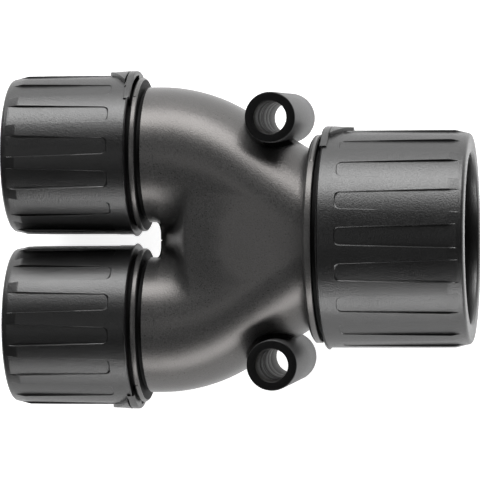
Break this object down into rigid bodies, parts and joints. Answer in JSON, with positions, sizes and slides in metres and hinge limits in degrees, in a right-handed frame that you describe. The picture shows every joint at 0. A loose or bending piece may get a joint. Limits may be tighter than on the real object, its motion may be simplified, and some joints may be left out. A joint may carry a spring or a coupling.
{
  "type": "conduit y fitting",
  "caption": "Y fitting for corrugated conduit: one wide trunk port, two parallel branch ports, a turning ribbed lock cap on each port and eyelets to screw it down.",
  "frame": {"origin": "middle of the line between the two eyelet bores, on the trunk's axis and halfway along the eyelets", "axes": "+X along the trunk's axis, out of the trunk port; +Y across the two branches, towards the upper one; +Z along the eyelets, out of the front"},
  "size_m": [0.0948, 0.0696, 0.0452],
  "materials": {
    "body": "satin black moulded polyamide, fine grain",
    "cap": "satin black moulded polyamide, a little rougher than the body",
    "clamp_ring": "dark grey sprung plastic",
    "seal": "soft black sealing rubber"
  },
  "bodies": {
    "fitting": {"y_body": "body", "trunk_clamp_ring": "clamp_ring", "upper_branch_clamp_ring": "clamp_ring", "lower_branch_clamp_ring": "clamp_ring", "trunk_seal": "seal", "upper_branch_seal": "seal", "lower_branch_seal": "seal"},
    "trunk_lock": {"trunk_cap": "cap"},
    "upper_branch_lock": {"upper_branch_cap": "cap"},
    "lower_branch_lock": {"lower_branch_cap": "cap"}
  },
  "joints": [
    {"name": "trunk_cap_turn", "type": "hinge", "parent": "fitting", "child": "trunk_lock", "pos_m": [0.009, 0, 0], "axis": [1, 0, 0], "range_deg": [0, 45]},
    {"name": "upper_branch_cap_turn", "type": "hinge", "parent": "fitting", "child": "upper_branch_lock", "pos_m": [-0.02895, 0.0175, 0], "axis": [-1, 0, 0], "range_deg": [0, 45]},
    {"name": "lower_branch_cap_turn", "type": "hinge", "parent": "fitting", "child": "lower_branch_lock", "pos_m": [-0.02895, -0.0175, 0], "axis": [-1, 0, 0], "range_deg": [0, 45]}
  ]
}
